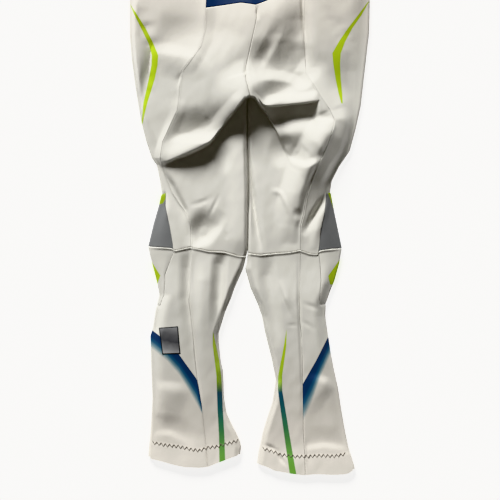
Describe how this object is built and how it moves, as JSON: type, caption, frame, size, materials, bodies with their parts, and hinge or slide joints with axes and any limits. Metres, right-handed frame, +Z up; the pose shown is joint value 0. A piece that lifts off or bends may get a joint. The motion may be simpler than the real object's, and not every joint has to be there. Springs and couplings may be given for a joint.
{
  "type": "ski race suit",
  "caption": "One-piece ski race suit laid flat, back up: white panels, grey knee inserts, zip at the front, plain stripes; two cloth layers with folds under the seat.",
  "frame": {"origin": "centre of the footprint, on the surface the suit lies on", "axes": "+Z up from the surface, +Y from the hems to the collar, +X to the wearer's right"},
  "size_m": [1.2366, 1.4326, 0.0546],
  "materials": {
    "white_cloth": "smooth matte laminated knit",
    "navy_cloth": "smooth matte laminated knit",
    "grey_cloth": "smooth matte laminated knit",
    "zip_tape": "woven tape with coil teeth",
    "slider_metal": "satin",
    "pull_tab": "matte",
    "silver_patch": "satin film"
  },
  "bodies": {
    "suit": {"back_seat_left": "white_cloth", "back_seat_right": "white_cloth", "back_upper": "navy_cloth", "side_left": "white_cloth", "side_right": "white_cloth", "knee_left": "grey_cloth", "knee_right": "grey_cloth", "calf_inner_left": "white_cloth", "calf_inner_right": "white_cloth", "calf_outer_left": "white_cloth", "calf_outer_right": "white_cloth", "shin_left": "white_cloth", "shin_right": "white_cloth", "front_left": "white_cloth", "front_right": "white_cloth", "sleeve_back_left": "white_cloth", "sleeve_back_right": "white_cloth", "sleeve_front_left": "white_cloth", "sleeve_front_right": "white_cloth", "collar": "white_cloth", "zip_tape": "zip_tape", "zip_slider": "slider_metal", "calf_patch": "silver_patch"},
    "pull_tab": {"pull_tab": "pull_tab"}
  },
  "joints": [
    {"name": "pull_tab_swing", "type": "hinge", "parent": "suit", "child": "pull_tab", "pos_m": [0, 0.68552, 0.0026], "axis": [1, 0, 0], "range_deg": [0, 150]}
  ]
}
